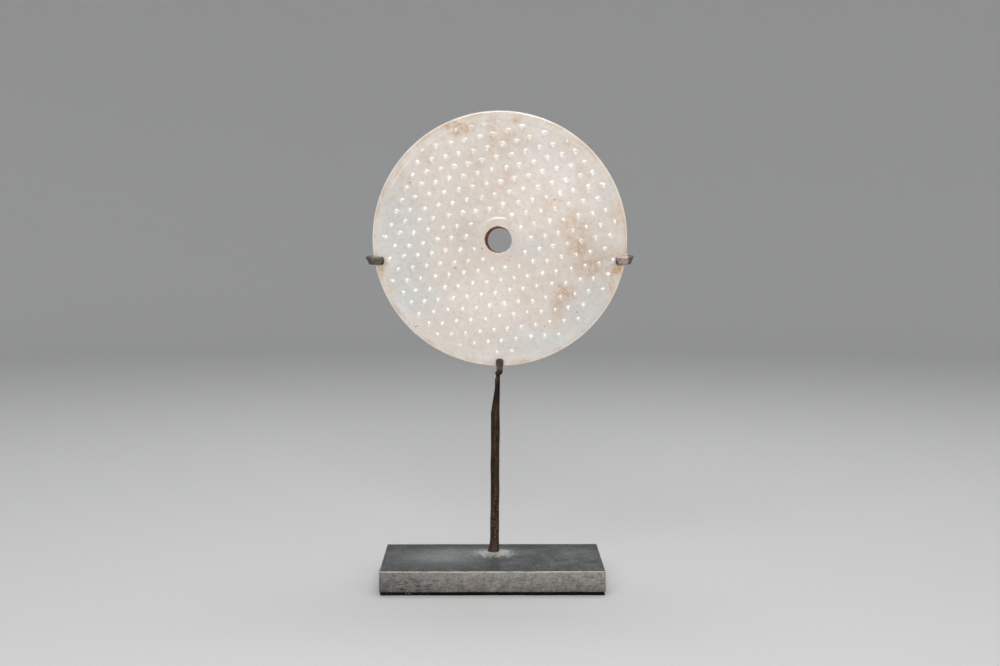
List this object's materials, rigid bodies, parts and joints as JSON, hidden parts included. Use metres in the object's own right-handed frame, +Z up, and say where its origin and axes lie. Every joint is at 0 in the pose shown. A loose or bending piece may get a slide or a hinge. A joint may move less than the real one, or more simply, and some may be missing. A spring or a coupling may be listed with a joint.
{
  "type": "jade bi disc",
  "caption": "Flat round jade disc with a central hole and rows of raised grains, held upright by clips and a hook on a rod that stands on a metal block.",
  "frame": {"origin": "on the surface that it stands on, below the disc's upright centre line and the middle of the base block's depth", "axes": "+Z up, the carved front face looks along -Y, +X to the right of a person facing the front"},
  "size_m": [0.1586, 0.078, 0.2763],
  "materials": {
    "jade": "polished, slightly see-through, with russet stains",
    "strap_metal": "dark brown patina, satin",
    "rod_metal": "dark olive-brown patina with drawn streaks",
    "block_metal": "grey-brown patina, brushed sides, cloudy top",
    "felt": "black felt"
  },
  "bodies": {
    "root": {"bi_disc": "jade", "cross_strap": "strap_metal", "hook_strap": "strap_metal", "post": "rod_metal", "base_block": "block_metal", "felt_pad": "felt"}
  },
  "joints": []
}
